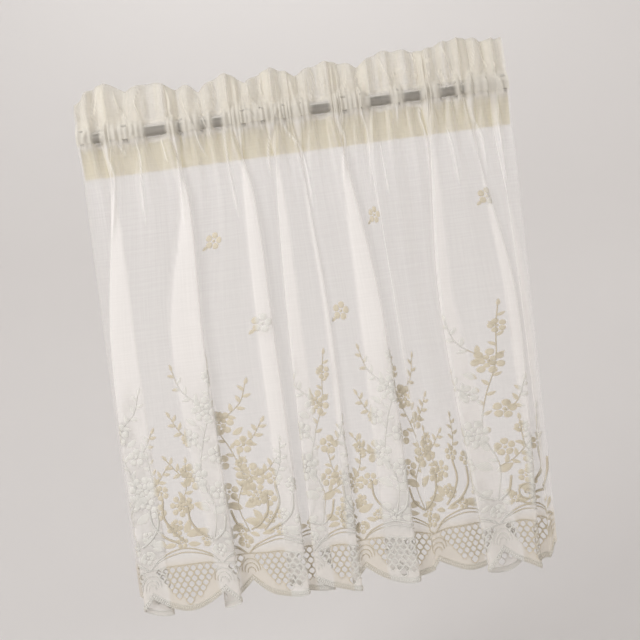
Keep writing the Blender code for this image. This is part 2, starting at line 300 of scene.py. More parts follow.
@dataclass(frozen=True)
class VoileFinish:
    """Polyester voile, plain-woven from fine slubbed yarn, with a denser woven lace hem.

    The open weave lets the ground show through, so single cloth is a veil and doubled cloth is
    milky. Where the cloth turns away, its yarns close up and it gets denser. Its colour carries
    painted shade: a darker olive cream on the doubled heading and the ruffle, and a darker cream
    on the lace where it hangs single.
    """

    yarn: str = "FBF9F7"
    # The colour after this one is painted shade: the lace's darker cream where it hangs single.
    lace_single_shade: str = "E8E1D5"
    # Painted shade: the doubled heading's darker olive cream.
    doubled_painted_shade: str = "D2C698"
    cover: float = 0.30
    gathered_cover: float = 0.30
    turned_cover: float = 0.62
    lace_cover: float = 0.80
    slub_cover: float = 0.02
    slub_pitch: float = 3.0 * MM
    slubs_along: float = 9.0
    glow: float = 0.38

    def make(self) -> bpy.types.Material:
        """Builds the voile material, which reads the sheet's flat UV map and its attributes."""
        material, tree = new_material("polyester_voile_plain_woven")
        flat = add_node(tree, "ShaderNodeUVMap", {"uv_map": "flat"}).outputs["UV"]
        lace, away = attribute(tree, "lace"), attribute(tree, "away")
        fold, heading_shade = attribute(tree, "fold"), attribute(tree, "heading_shade")
        # Real slubs are 0.3 mm across. They are drawn ten times as coarse, so that they show.
        fine = 1 / self.slub_pitch
        across = streaks(tree, flat, (fine, self.slubs_along, 1.0), 0.6)
        down = streaks(tree, flat, (self.slubs_along, fine, 1.0), 0.6)
        slubs = calculate(tree, "ADD", across, down)
        cover = map_range(tree, slubs, -self.slub_cover, self.slub_cover, 0.75, 1.25)
        cover = calculate(tree, "ADD", cover, self.cover)
        cover = calculate(tree, "MULTIPLY_ADD", fold, self.gathered_cover, cover)
        cover = calculate(tree, "MULTIPLY_ADD", away, self.turned_cover, cover, clamp=True)
        inputs = {0: lace, 2: cover, 3: self.lace_cover}
        dense = add_node(tree, "ShaderNodeMix", {"data_type": "FLOAT"}, inputs).outputs[0]
        # Painted shade: the lace takes a darker cream where it hangs single, and hardly any in the
        # lit folds.
        single = calculate(tree, "MULTIPLY_ADD", fold, -0.8, 1.0)
        lace_shade_share = calculate(tree, "MULTIPLY", lace, single)
        colour = mix_colours(tree, lace_shade_share, rgba(self.yarn), rgba(self.lace_single_shade))
        # Painted shade: a darker olive cream on the doubled heading and less of it on the pocket's
        # back and the ruffle, for the light that gets through them less.
        colour = mix_colours(tree, heading_shade, colour, rgba(self.doubled_painted_shade))
        relief = bump(tree, slubs, 0.2, 0.4 * MM)
        cloth = yarn_shader(tree, colour, relief, (0.72, 0.25, 0.5), self.glow)
        gaps = add_node(tree, "ShaderNodeBsdfTransparent").outputs[0]
        show(tree, mix_shaders(tree, dense, gaps, cloth))
        return material


@dataclass(frozen=True)
class LaceThreadFinish:
    """Soft bulky lace yarn in satin stitch. Its colour carries painted light and shade: darker
    cream where it hangs single, whiter in the folds, and darker between the stitches.
    """

    # Painted light and shade: hanging is the darker cream of single cloth, folded the whiter lit
    # colour.
    hanging: str = "E3DAC6"
    folded: str = "F3F2ED"
    stitch_pitch: float = 1.6 * MM
    glow: float = 0.28

    def make(self) -> bpy.types.Material:
        """Builds the yarn material. Its stitches follow the flat cloth."""
        material, tree = new_material("lace_yarn_satin_stitched")
        # Real satin stitches are 0.4 mm apart. They are drawn four times as coarse to show.
        # The wave node makes about a third of a band for each unit of scale.
        flat = add_node(tree, "ShaderNodeUVMap", {"uv_map": "flat"}).outputs["UV"]
        inputs = {"Vector": flat, "Scale": 0.314 / self.stitch_pitch, "Distortion": 1.5}
        inputs |= {"Detail": 2.0, "Detail Scale": 2.0}
        settings = {"wave_type": "BANDS", "bands_direction": "DIAGONAL"}
        stitches = add_node(tree, "ShaderNodeTexWave", settings, inputs).outputs["Fac"]
        fold = attribute(tree, "fold")
        # Painted light and shade: the darker cream where the yarn hangs single, the whiter lit
        # colour in the folds, and painted shade between the stitches.
        colour = mix_colours(tree, fold, rgba(self.hanging), rgba(self.folded))
        shade = map_range(tree, stitches, 0.90, 1.0)
        stitch_shaded = mix_colours(tree, 1.0, colour, shade, "MULTIPLY")
        relief = bump(tree, stitches, 0.5, 0.3 * MM)
        show(tree, yarn_shader(tree, stitch_shaded, relief, (0.6, 0.3, 0.4), self.glow))
        return material


@dataclass(frozen=True)
class SteelFinish:
    """Brushed steel tube: fine scratches along the rod stretch its highlight across them."""

    metal: str = "7F7B76"
    scratch_pitch: float = 0.5 * MM
    scratches_along: float = 12.0

    def make(self) -> bpy.types.Material:
        """Builds the rod's material, on Object coordinates."""
        material, tree = new_material("brushed_steel_tube")
        place = add_node(tree, "ShaderNodeTexCoord").outputs["Object"]
        fine = 1 / self.scratch_pitch
        scratches = streaks(tree, place, (self.scratches_along, fine, fine))
        inputs = {
            "Base Color": rgba(self.metal),
            "Metallic": 1.0,
            "Roughness": map_range(tree, scratches, 0.24, 0.44),
            "Normal": bump(tree, scratches, 0.15, 0.05 * MM),
        }
        show(tree, add_node(tree, "ShaderNodeBsdfPrincipled", None, inputs).outputs[0])
        return material


# ---- the drape


class Drape:
    """Where each flat place of the cloth hangs, from the table of folds."""

    def __init__(self) -> None:
        """Lays out the guide points and measures the hem row, which sets the flat places."""
        rows = np.array([self._row(k) for k in range(len(STATIONS))])
        first = 2 * rows[:, :1] - rows[:, 1:2]
        last = 2 * rows[:, -1:] - rows[:, -2:-1]
        self.count = rows.shape[1]
        self.guides = np.concatenate([first, rows, last], axis=1)
        self.slopes = np.array([self._slope(k) for k in range(len(STATIONS))])
        fine = np.linspace(0, self.count - 1, (self.count - 1) * 16 + 1)
        path = self.section(fine, np.full(len(fine), HEM_Z))
        along = np.concatenate([[0.0], np.cumsum(np.hypot(*np.diff(path[:, :2], axis=0).T))])
        self.fine, self.along = fine, along * CLOTH_WIDTH / along[-1]
        self.cover_x = np.arange(-0.40, 0.401, 0.004)
        self.cover_z = np.linspace(HEM_Z, HEAD_Z, 32)
        self.cover = np.array([self._layers(z) for z in self.cover_z])
        drops = rows[0, :, 2]
        self.pleats = [
            i + 1.5
            for i in range(1, self.count - 3)
            if drops[i] == drops[i + 3] == 1.0 and drops[i - 1] != 1.0
        ]

    @staticmethod
    def _fold_points(fold: Fold, k: int) -> list[tuple[float, float, float]]:
        """Guide points (x, y, drop) of one fold at station k."""
        middle = (fold.head, fold.top, fold.mid, fold.hem)[k]
        lap = (HEAD_LAP, fold.lap_top, fold.lap_mid, fold.lap_hem)[k]
        depth = HEAD_DEPTH if k == 0 else fold.depth * DEPTH_SHARE[k]
        right, left = middle + lap / 2, middle - lap / 2
        y_right, y_left = -fold.lean * depth / 2, fold.lean * depth / 2
        points = [
            (right, y_right, 1.0),
            (right, y_right + (y_left - y_right) / 3, 1.0),
            (left, y_left - (y_left - y_right) / 3, 1.0),
            (left, y_left, 1.0),
        ]
        if fold.lap_hem >= MAIN_LAP:
            points.insert(0, (right - EDGE_RUN[k], y_right, EDGE_DROP))
            points.append((left + EDGE_RUN[k], y_left, EDGE_DROP))
        return points

    @staticmethod
    def _panel_points(before, after, ripples: int, k: int) -> list[tuple[float, float, float]]:
        """Guide points between two folds: small gathers at the heading, nearly flat below."""
        sign = -1.0 if before[1] > 0 else 1.0
        points = []
        for i in range(ripples):
            share = (i + 1) / (ripples + 1)
            x = before[0] + (after[0] - before[0]) * share
            level = 0.0 if k == 0 else before[1] + (after[1] - before[1]) * share
            points.append((x, level + sign * RIPPLE_HEIGHT[k], 0.0))
            sign = -sign
        return points

    def _row(self, k: int) -> list[tuple[float, float, float]]:
        """All guide points at station k, left edge to right edge."""
        row = [(LEFT_EDGE[k], 0.0, 0.0)]
        for fold in FOLDS:
            points = self._fold_points(fold, k)
            row += self._panel_points(row[-1], points[0], fold.ripples, k)
            row += points
        end = (RIGHT_EDGE[k], 0.0, 0.0)
        row += self._panel_points(row[-1], end, LAST_RIPPLES, k)
        return row + [end]

    def _slope(self, k: int) -> np.ndarray:
        """How the guide points change with height at station k."""
        a, b = max(k - 1, 0), min(k + 1, len(STATIONS) - 1)
        return (self.guides[b] - self.guides[a]) / (STATIONS[b] - STATIONS[a])

    def _layers(self, z: float) -> np.ndarray:
        """How many layers of cloth lie behind one another along x at the height z."""
        x = self.section(self.fine, np.full(len(self.fine), z))[:, 0]
        step = self.cover_x[1] - self.cover_x[0]
        edges = np.append(self.cover_x, self.cover_x[-1] + step) - step / 2
        run = np.histogram((x[1:] + x[:-1]) / 2, edges, weights=np.abs(np.diff(x)))[0] / step
        return np.convolve(run, (0.25, 0.5, 0.25), "same")

    def folded(self, x: np.ndarray, z: np.ndarray) -> np.ndarray:
        """How much each hung place is one of several layers, 0 for single cloth and 1 for three."""
        i = np.interp(z, self.cover_z, np.arange(len(self.cover_z)))
        j = np.interp(x, self.cover_x, np.arange(len(self.cover_x)))
        row, column = i.astype(int), j.astype(int)
        row = np.minimum(row, len(self.cover_z) - 2)
        column = np.minimum(column, len(self.cover_x) - 2)
        p, q = i - row, j - column
        layers = (1 - p) * ((1 - q) * self.cover[row, column] + q * self.cover[row, column + 1])
        layers += p * ((1 - q) * self.cover[row + 1, column] + q * self.cover[row + 1, column + 1])
        return np.clip((layers - 1.25) / 1.25, 0.0, 1.0)

    def section(self, s: np.ndarray, z: np.ndarray) -> np.ndarray:
        """The path of the folds.

        Args:
            s: Places along the path, counted in guide points.
            z: The height of each place.

        Returns:
            Rows of x, y and drop.
        """
        z = np.clip(z, HEM_Z, HEAD_Z)
        k = np.clip(np.searchsorted(-STATIONS, -z) - 1, 0, len(STATIONS) - 2)
        span = (STATIONS[k + 1] - STATIONS[k])[:, None]
        t = (z - STATIONS[k])[:, None] / span
        weights = (2 * t**3 - 3 * t**2 + 1, t**3 - 2 * t**2 + t, 3 * t**2 - 2 * t**3, t**3 - t**2)
        i = np.clip(np.rint(s).astype(int), 0, self.count - 1)
        r = (s - i)[:, None]
        spline = (0.5 * (0.5 - r) ** 2, 0.75 - r**2, 0.5 * (0.5 + r) ** 2)
        total = 0.0
        for j in range(3):
            total = total + spline[j] * (
                weights[0] * self.guides[k, i + j]
                + weights[1] * span * self.slopes[k, i + j]
                + weights[2] * self.guides[k + 1, i + j]
                + weights[3] * span * self.slopes[k + 1, i + j]
            )
        return total

    def guide_count(self, u: np.ndarray) -> np.ndarray:
        """The path places of flat places across the cloth."""
        return np.interp(u, self.along, self.fine)

    def flat_place(self, x: float, z: float) -> float:
        """The flat place whose front layer hangs at x, at the height z."""
        path = self.section(self.fine, np.full(len(self.fine), z))
        near = np.abs(path[:, 0] - x) < 2.5 * MM
        return float(self.along[np.argmin(np.where(near, path[:, 1], 1.0))])

    def pleat(self, s: np.ndarray) -> np.ndarray:
        """How much each path place lies on the tight pleat that heads a fold, 0 to 1."""
        total = sum(np.exp(-(((s - middle) / 0.75) ** 2)) for middle in self.pleats)
        return np.clip(total, 0.0, 1.0)

    @staticmethod
    def ripple(u: np.ndarray, z: np.ndarray) -> np.ndarray:
        """Small soft ripples: fine gathers that die away below the rod, and a slow sway below."""
        below = np.maximum(HEAD_Z - z, 0.0)
        start = 1 - np.exp(-below / 0.012)
        fine = np.sin(u * 311 + 1.7 * np.sin(u * 13)) + 0.6 * np.sin(u * 197 + 2.0)
        slow = np.sin(u * 83 + z * 5 + 1.0) + 0.7 * np.sin(u * 47 - z * 7)
        return start * (fine * 1.3 * MM * np.exp(-below / 0.085) + slow * 0.7 * MM)

    def hang(self, u: np.ndarray, z: np.ndarray) -> tuple[np.ndarray, np.ndarray]:
        """Where flat places hang below the rod.

        Args:
            u: Flat places across the cloth.
            z: Flat heights.

        Returns:
            Places (x, y, z), and how much each is one of several layers, 0 to 1.
        """
        s = self.guide_count(u)
        path = self.section(s, z)
        share = np.clip((MID_Z - z) / (MID_Z - HEM_Z), 0.0, 1.0) ** 2
        heights = z - FOLD_DROP * share * path[:, 2]
        raised = 1.5 * MM * self.pleat(s) * np.exp(-np.maximum(HEAD_Z - z, 0.0) / 0.10)
        y = path[:, 1] + self.ripple(u, z) - raised
        places = np.column_stack([path[:, 0], y, heights])
        return places, self.folded(path[:, 0], z)

    def carry(self, flat: np.ndarray) -> tuple[np.ndarray, np.ndarray]:
        """Carries flat work onto the hanging cloth.

        Args:
            flat: Rows of u, minus the height above the cloth, and z.

        Returns:
            Hung places, and how much each is one of several layers.
        """
        u, lift, z = flat[:, 0], -flat[:, 1], flat[:, 2]
        step = 1.0 * MM
        places, fold = self.hang(u, z)
        across = self.hang(u + step, z)[0] - self.hang(u - step, z)[0]
        down = self.hang(u, z + step)[0] - self.hang(u, z - step)[0]
        out = np.cross(across, down)
        out /= np.maximum(np.linalg.norm(out, axis=1, keepdims=True), 1e-12)
        return places + out * lift[:, None], fold


def crease_relief(x: np.ndarray, z: np.ndarray) -> tuple[np.ndarray, np.ndarray]:
    """How the heading's creases shape the cloth.

    Args:
        x: Places across, as the cloth hangs.
        z: Their heights.

    Returns:
        How far each place stands out, and how tightly the cloth is drawn there, 0 to 1.
    """
    relief, tight = np.zeros(len(x)), np.zeros(len(x))
    for crease in CREASES:
        path = smooth_path(crease.course, 4)
        spans = np.diff(path, axis=0)
        nearest, share = np.full(len(x), 9.0), np.zeros(len(x))
        for number, (start, span) in enumerate(zip(path, spans)):
            along = (x - start[0]) * span[0] + (z - start[1]) * span[1]
            t = np.clip(along / span.dot(span), 0, 1)
            far = np.hypot(x - start[0] - t * span[0], z - start[1] - t * span[1])
            share = np.where(far < nearest, (number + t) / len(spans), share)
            nearest = np.minimum(far, nearest)
        fade = np.clip(7 * np.minimum(share, 1 - share), 0, 1)
        reach = nearest / (crease.width * MM)
        relief = np.maximum(relief, crease.height * MM * fade * np.exp(-(reach**2)))
        tight = np.maximum(tight, fade * np.exp(-((reach / 0.55) ** 2)))
    return relief, tight


def hem_line(u: np.ndarray) -> np.ndarray:
    """The flat height of the scalloped edge."""
    q = 2 * np.mod(u / SCALLOP_WIDTH, 1.0) - 1
    return HEM_Z - SCALLOP_DEPTH * (1 - q * q)


# ---- the sheet


@dataclass
class Heading:
    """The rod pocket, the standing ruffle above it and the doubled cloth behind it.

    Where the rod shows is listed in bare, by left and right x, and the ruffle's top in outline, by
    x and z. The bridge fields say how far the gathers stand before the rod and how far from it
    that reaches, and the hold fields how far from the rod the cloth is drawn forward to them.
    """

    pocket_radius: float = 0.0109
    pocket_bulge: float = 0.0030
    swing: float = math.radians(34)
    seam_gap: float = math.radians(11)
    sway: float = 0.0095
    puff: float = 0.0075
    facing_z: float = -0.066
    facing_back: float = 0.0145
    facing_share: float = 0.20
    bridge_mm: float = 14.0
    uneven_mm: float = 4.5
    bridge_above: float = 0.026
    bridge_below: float = 0.034
    hold_above: float = 0.055
    hold_below: float = 0.075
    # fmt: off
    bare: tuple[tuple[float, float], ...] = (
        (-0.341, -0.324), (-0.253, -0.216), (-0.199, -0.190), (-0.156, -0.148), (-0.136, -0.120),
        (0.032, 0.064), (0.128, 0.168), (0.190, 0.224), (0.254, 0.279), (0.289, 0.299),
    )
    outline: tuple[tuple[float, float], ...] = (
        (-0.368, 0.060), (-0.318, 0.089), (-0.278, 0.073), (-0.236, 0.082), (-0.197, 0.066),
        (-0.176, 0.069), (-0.155, 0.056), (-0.108, 0.079), (-0.074, 0.060), (-0.028, 0.078),
        (0.010, 0.061), (0.066, 0.077), (0.119, 0.062), (0.165, 0.082), (0.232, 0.074),
        (0.293, 0.088), (0.336, 0.078), (0.369, 0.081),
    )
    # fmt: on

    def bunch(self, x: np.ndarray) -> np.ndarray:
        """How thickly the gathers lie over the rod, 0 where it shows through and 1 elsewhere."""
        thick = np.ones(len(x))
        for left, right in self.bare:
            inside = np.minimum(x - left, right - x) / (1.5 * MM)
            thick = np.minimum(thick, 1 - 1 / (1 + np.exp(-inside)))
        return thick

    def bridge(self, x: np.ndarray, z: np.ndarray, u: np.ndarray) -> np.ndarray:
        """How far towards the room the gathers stand where they bridge the rod's seams."""
        gathers = 0.5 + 0.3 * np.sin(u * 370 + 2 * np.sin(u * 37)) + 0.2 * np.sin(u * 211 + 1)
        reach = np.where(z > 0, self.bridge_above, self.bridge_below)
        high = (self.bridge_mm + self.uneven_mm * gathers) * MM
        return self.bunch(x) * high * np.exp(-((z / reach) ** 2))

    def draw_forward(self, places: np.ndarray, u: np.ndarray) -> np.ndarray:
        """How far back places lie once the gathers have drawn the cloth over the rod's front.

        Args:
            places: The cloth's places before that.
            u: Their flat places.

        Returns:
            The new y of each place. Away from the rod it is the old one.
        """
        x, y, z = places.T
        ahead = np.maximum(y - 0.5 * MM + self.bridge(x, z, u), 0.0)
        hold = np.where(z > 0, self.hold_above, self.hold_below)
        return y - ahead * np.exp(-((z / hold) ** 4))

    def tops(self, x: np.ndarray) -> np.ndarray:
        """The ruffle's upper edge: rounded lobes that meet in narrow dips."""
        knots = np.array(self.outline)
        heights = knots[:, 1]
        i = np.clip(np.searchsorted(knots[:, 0], x) - 1, 0, len(knots) - 2)
        t = np.clip((x - knots[i, 0]) / (knots[i + 1, 0] - knots[i, 0]), 0, 1)
        rising = heights[i + 1] > heights[i]
        eased = np.where(rising, np.sin(t * math.pi / 2), 1 - np.sin((1 - t) * math.pi / 2))
        return heights[i] + (heights[i + 1] - heights[i]) * eased

    @staticmethod
    def polar(x: np.ndarray, radius: np.ndarray, angle: np.ndarray) -> np.ndarray:
        """Places round the rod, the angle running from straight up towards the room."""
        return np.column_stack([x, -radius * np.sin(angle), radius * np.cos(angle)])

    def rows(self, drape: Drape, s: np.ndarray, u: np.ndarray) -> list[np.ndarray]:
        """The heading's rows.

        Args:
            drape: The fold paths.
            s: The columns' places along the path.
            u: The columns' flat places.

        Returns:
            Rows of places, from the doubled cloth's edge behind, over the ruffle, to the seam.
        """
        head = drape.section(s, np.full(len(s), HEAD_Z))
        x, forward = head[:, 0], np.clip(-head[:, 1] / (HEAD_DEPTH / 2), -1.0, 1.0)
        swing = self.swing * forward
        pleat = drape.pleat(s)
        front, back = [], []
        half = math.pi - 2 * swing - 2 * self.seam_gap
        long_half = math.pi + 2 * swing - 2 * self.seam_gap
        for t in np.linspace(0, 1, FRONT_ROWS):
            bulge = self.pocket_bulge * math.sin(math.pi * t)
            radius = self.pocket_radius + bulge * (1 + forward) / 2 + 1.0 * MM * pleat
            front.append(self.polar(x, radius, swing + self.seam_gap + half * t))
        for t in np.linspace(0, 1, BACK_ROWS):
            bulge = self.pocket_bulge * math.sin(math.pi * t)
            radius = self.pocket_radius / math.cos(0.5 * math.pi / BACK_ROWS)
            radius = radius + bulge * (1 - forward) / 2
            back.append(self.polar(x, radius, swing - self.seam_gap - long_half * t))
        top = np.column_stack([x, -self.sway * forward, self.tops(x)])
        crinkle = 1.4 * MM * np.sin(u * 240 + 2 * np.sin(u * 31))
        up, down = [], []
        for rows, count, side, first in ((down, DOWN_ROWS, 1, front), (up, UP_ROWS, -1, back)):
            for t in np.linspace(0, 1, count + 1)[1:]:
                puff = np.zeros_like(top)
                puff[:, 1] = self.puff * math.sin(math.pi * t) + 0.0012 * t
                bend = np.sin(u * 96 + 5 * t) * np.sin(u * 61 - 7 * t + 1)
                puff[:, 1] += (crinkle + 3.2 * MM * bend) * math.sin(math.pi * t)
                rows.append(first[0] + (top - first[0]) * t - side * puff)
        facing = []
        for t in np.linspace(0, 1, FACING_ROWS)[:-1]:
            share = self.facing_share + (1 - self.facing_share) * t
            y = self.facing_back + (0.0048 - self.facing_back) * t + share * head[:, 1]
            z = np.full(len(s), self.facing_z + (HEAD_Z - self.facing_z) * t)
            facing.append(np.column_stack([x, y, z]))
        y = 0.0048 + head[:, 1]
        facing.append(np.column_stack([x, y, np.full(len(s), HEAD_Z)]))
        return facing + back[::-1] + up + down[::-1] + front


@dataclass
class Net:
    """The openwork net in each scallop: staggered openings that narrow to one at its tip."""

    pitch: float = 12.0 * MM
    row_pitch: float = 8.9 * MM
    first_z: float = -0.7435
    counts: tuple[int, ...] = (9, 8, 7, 6, 5, 4, 1)
    half_width: float = 5.0 * MM
    half_height: float = 5.3 * MM
    tip_scale: float = 1.25
    roundness: float = 1.2
    border: float = 9.5 * MM

    def openings(self) -> np.ndarray:
        """Rows of centre u, centre z, half width and half height."""
        found = []
        for scallop in range(SCALLOPS):
            middle = (scallop + 0.5) * SCALLOP_WIDTH
            for row, count in enumerate(self.counts):
                grow = self.tip_scale if count == 1 else 1.0
                for i in range(count):
                    u = middle + (i - (count - 1) / 2) * self.pitch
                    z = self.first_z - row * self.row_pitch
                    found.append((u, z, self.half_width * grow, self.half_height * grow))
        return np.array(found)

    def nearest(self, u: np.ndarray, z: np.ndarray) -> tuple[np.ndarray, np.ndarray]:
        """How far each flat place lies from its nearest opening's middle, 1 being the rim.

        Args:
            u: Flat places across.
            z: Flat heights.

        Returns:
            The distances in rims, and the openings' numbers.
        """
        holes = self.openings()
        best, which = np.full(len(u), 9.0), np.zeros(len(u), int)
        for number, (mu, mz, wide, high) in enumerate(holes):
            close = (np.abs(u - mu) < 2.2 * wide) & (np.abs(z - mz) < 2.2 * high)
            at = np.flatnonzero(close)
            power = self.roundness
            gauge = np.abs((u[at] - mu) / wide) ** power + np.abs((z[at] - mz) / high) ** power
            gauge = gauge ** (1 / power)
            better = gauge < best[at]
            best[at[better]], which[at[better]] = gauge[better], number
        return best, which


@dataclass
class Sheet:
    """The curtain's cloth: one thin sheet with its heading, folds and openwork hem."""

    columns: int = 720
    by_length: float = 0.62
    upper_rows: int = 26
    body_rows: int = 28
    net_rows: int = 46

    def build(self, drape: Drape, heading: Heading, net: Net) -> bpy.types.Object:
        """Makes the sheet's mesh with its flat UV map and its attributes.

        Args:
            drape: Where flat places hang.
            heading: The rows above the folds.
            net: The hem's openings.

        Returns:
            The sheet.
        """
        # The columns are spaced by length along the cloth, and closer where the guide points are.
        by_length = self.by_length * drape.along / CLOTH_WIDTH
        evenly = by_length + (1 - self.by_length) * drape.fine / drape.fine[-1]
        u = np.interp(np.linspace(0, 1, self.columns + 1), evenly, drape.along)
        wide = len(u)
        s = drape.guide_count(u)
        rows = heading.rows(drape, s, u)
        lengths = [float(np.linalg.norm(b - a, axis=1).mean()) for a, b in zip(rows, rows[1:])]
        flat_rows = [sum(lengths[i:]) for i in range(len(rows))]
        upper = HEAD_Z + (UPPER_Z - HEAD_Z) * np.linspace(0, 1, self.upper_rows + 1)[:-1]
        lower = UPPER_Z + (NET_TOP_Z - UPPER_Z) * np.linspace(0, 1, self.body_rows + 1)[:-1]
        heights = np.concatenate([upper, lower])
        grid_z = np.vstack([np.tile(heights[:, None], wide), self._hem_heights(u, net)])
        grid_u = np.tile(u, (len(grid_z), 1))
        gauge, hole = net.nearest(grid_u.ravel(), grid_z.ravel())
        inside = (gauge < 1).reshape(grid_u.shape)
        cut = inside[:-1, :-1] & inside[1:, :-1] & inside[:-1, 1:] & inside[1:, 1:]
        cut = np.vstack([np.zeros((len(rows), wide - 1), bool), cut])
        flat_u, flat_z = grid_u.ravel().copy(), grid_z.ravel().copy()
        edge = inside.ravel()
        holes = net.openings()[hole[edge]]
        grow = 1 / np.maximum(gauge[edge], 0.2)
        flat_u[edge] = holes[:, 0] + (flat_u[edge] - holes[:, 0]) * grow
        flat_z[edge] = holes[:, 1] + (flat_z[edge] - holes[:, 1]) * grow
        hung, folds = drape.hang(flat_u, flat_z)
        points = np.vstack([*rows, hung])
        heading_flat = np.column_stack([np.tile(u, len(rows)), np.repeat(flat_rows, wide)])
        flat = np.vstack([heading_flat, np.column_stack([flat_u, flat_z])])
        headed_folds = np.tile(drape.hang(u, np.full(wide, HEAD_Z))[1], len(rows))
        fold = np.concatenate([headed_folds, folds])
        tight = self._shape_heading(points, flat, drape, heading, len(rows), heights, wide)
        faces = []
        for k, i in np.argwhere(~cut):
            a = int(k) * wide + int(i)
            faces.append((a, a + wide, a + wide + 1, a + 1))
        mesh = new_mesh("curtain_sheet", points, faces)
        mesh.update()
        self._attributes(mesh, points, flat, fold, tight, wide)
        drop_loose(mesh)
        return add_object("curtain_sheet", mesh)

    def _hem_heights(self, u: np.ndarray, net: Net) -> np.ndarray:
        """The flat heights of the hem's fine rows, which bend little by little to the scallops."""
        edge = hem_line(u)
        inner = edge + net.border
        steps = [NET_TOP_Z + (inner - NET_TOP_Z) * t for t in np.linspace(0, 1, self.net_rows + 1)]
        steps += [inner + (edge - inner) * t for t in (0.35, 0.7, 1.0)]
        return np.array(steps)

    @staticmethod
    def _shape_heading(
        points: np.ndarray,
        flat: np.ndarray,
        drape: Drape,
        heading: Heading,
        count: int,
        heights: np.ndarray,
        wide: int,
    ) -> np.ndarray:
        """Bridges the rod with gathers and raises the creases, in place.

        Args:
            points: The sheet's places, changed here.
            flat: Their flat places.
            drape: Finds the pleats that head the folds.
            heading: Says where the gathers lie thickly.
            count: The number of rows above the folds.
            heights: The heights of the coarse rows below them.
            wide: The number of places in a row.

        Returns:
            How tightly the cloth is drawn at each place, 0 to 1.
        """
        end = (count + len(heights)) * wide
        seen = slice(HIDDEN_ROWS * wide, end)
        x, z = points[seen, 0], points[seen, 2]
        relief, drawn = crease_relief(x, z)
        points[seen, 1] = heading.draw_forward(points[seen], flat[seen, 0]) - relief
        falling = np.exp(-(HEAD_Z - heights) / 0.10)
        drawn_in = drape.pleat(drape.guide_count(flat[:wide, 0]))
        pleat = np.outer(np.concatenate([np.ones(count), falling]), drawn_in)
        ruffle = (0.15 + 0.55 * np.linspace(0, 1, DOWN_ROWS) ** 3).tolist()
        below = (0.25 * np.exp(-(HEAD_Z - heights) / 0.02)).tolist()
        behind = [0.0] * FACING_ROWS + [0.7] * BACK_ROWS + ruffle[::-1][:UP_ROWS]
        share = behind + ruffle + [0.95] * FRONT_ROWS + below
        bunched = np.outer(share, heading.bunch(points[:wide, 0]))
        bunched[[HIDDEN_ROWS + DOWN_ROWS - 1, count - 1]] = 0.8
        tight = np.zeros(len(points))
        tight[:end] = np.maximum(pleat, bunched).ravel()
        tight[seen] = np.maximum(tight[seen], drawn)
        return tight

    @staticmethod
    def _attributes(mesh, points, flat, fold, tight, wide) -> None:
        """Stores the flat UV map, the lace, fold and density, and the heading's painted shade."""
        along = np.gradient(points.reshape(-1, wide, 3), axis=1)
        run = np.maximum(np.linalg.norm(along[..., :2], axis=2), 1e-9)
        away = 1 - np.clip(np.abs(along[..., 0]) / run, 0.0, 1.0)
        away = np.maximum(away.ravel(), tight)
        heights = flat[:, 1]
        # Painted shade of the heading: full on the doubled facing, less on the pocket's back and
        # the ruffle.
        heading_shades = [1.0] * FACING_ROWS + [0.45] * (BACK_ROWS + UP_ROWS)
        heading_shades += [0.25] * (DOWN_ROWS + FRONT_ROWS)
        heading_shade = np.zeros(len(points))
        heading_shade[: len(heading_shades) * wide] = np.repeat(heading_shades, wide)
        lace = np.clip((LACE_TOP_Z - heights) / (LACE_TOP_Z - NET_TOP_Z), 0.0, 1.0) ** 2
        lace = np.where(heights < NET_TOP_Z + 1e-6, 1.0, 0.45 * lace)
        lace = np.maximum(lace, 0.7 * (heading_shade == 1.0))
        for name, values in (("lace", lace), ("away", away), ("fold", fold), ("heading_shade", heading_shade)):
            store_values(mesh, name, "FLOAT", values.astype(np.float32))
        store_flat(mesh, flat)


def new_mesh(name: str, points, faces) -> bpy.types.Mesh:
    """A mesh of points and faces."""
    mesh = bpy.data.meshes.new(name)
    mesh.from_pydata(points, [], faces)
    return mesh


def add_object(name: str, mesh: bpy.types.Mesh) -> bpy.types.Object:
    """Puts a mesh into the scene as an object with smooth faces."""
    mesh.polygons.foreach_set("use_smooth", np.ones(len(mesh.polygons), bool))
    thing = bpy.data.objects.new(name, mesh)
    bpy.context.scene.collection.objects.link(thing)
    return thing


def circle(sides: int) -> list[tuple[float, float]]:
    """Places round a circle of radius 1, from the top clockwise."""
    angles = [2 * math.pi * i / sides for i in range(sides)]
    return [(math.sin(a), math.cos(a)) for a in angles]


def band_faces(a: int, sides: int) -> list[tuple[int, int, int, int]]:
    """The faces between the ring of points that starts at a and the next ring."""
    b = a + sides
    return [(a + i, b + i, b + (i + 1) % sides, a + (i + 1) % sides) for i in range(sides)]


def dome_faces(sides: int, rings: int) -> list[tuple[int, ...]]:
    """The faces of rings of points about a first point."""
    faces: list[tuple[int, ...]] = [(0, 1 + i, 1 + (i + 1) % sides) for i in range(sides)]
    for ring in range(rings - 1):
        faces += band_faces(1 + ring * sides, sides)
    return faces


def store_flat(mesh: bpy.types.Mesh, flat: np.ndarray) -> None:
    """Stores flat coordinates, one pair for each vertex, as the UV map "flat"."""
    corners = np.empty(len(mesh.loops), np.int32)
    mesh.loops.foreach_get("vertex_index", corners)
    layer = mesh.uv_layers.new(name="flat")
    layer.data.foreach_set("uv", flat[corners].astype(np.float32).ravel())


def drop_loose(mesh: bpy.types.Mesh) -> None:
    """Removes vertices that no face uses."""
    bm = bmesh.new()
    bm.from_mesh(mesh)
    loose = [v for v in bm.verts if not v.link_faces]
    bmesh.ops.delete(bm, geom=loose, context="VERTS")
    bm.to_mesh(mesh)
    bm.free()


# ---- lace and embroidery


class Stamp(Enum):
    """The solid shapes of the embroidery, by their place in the pool of shapes."""

    PETAL = 0
    LEAF = 1
    KNOT = 2
    RING = 3


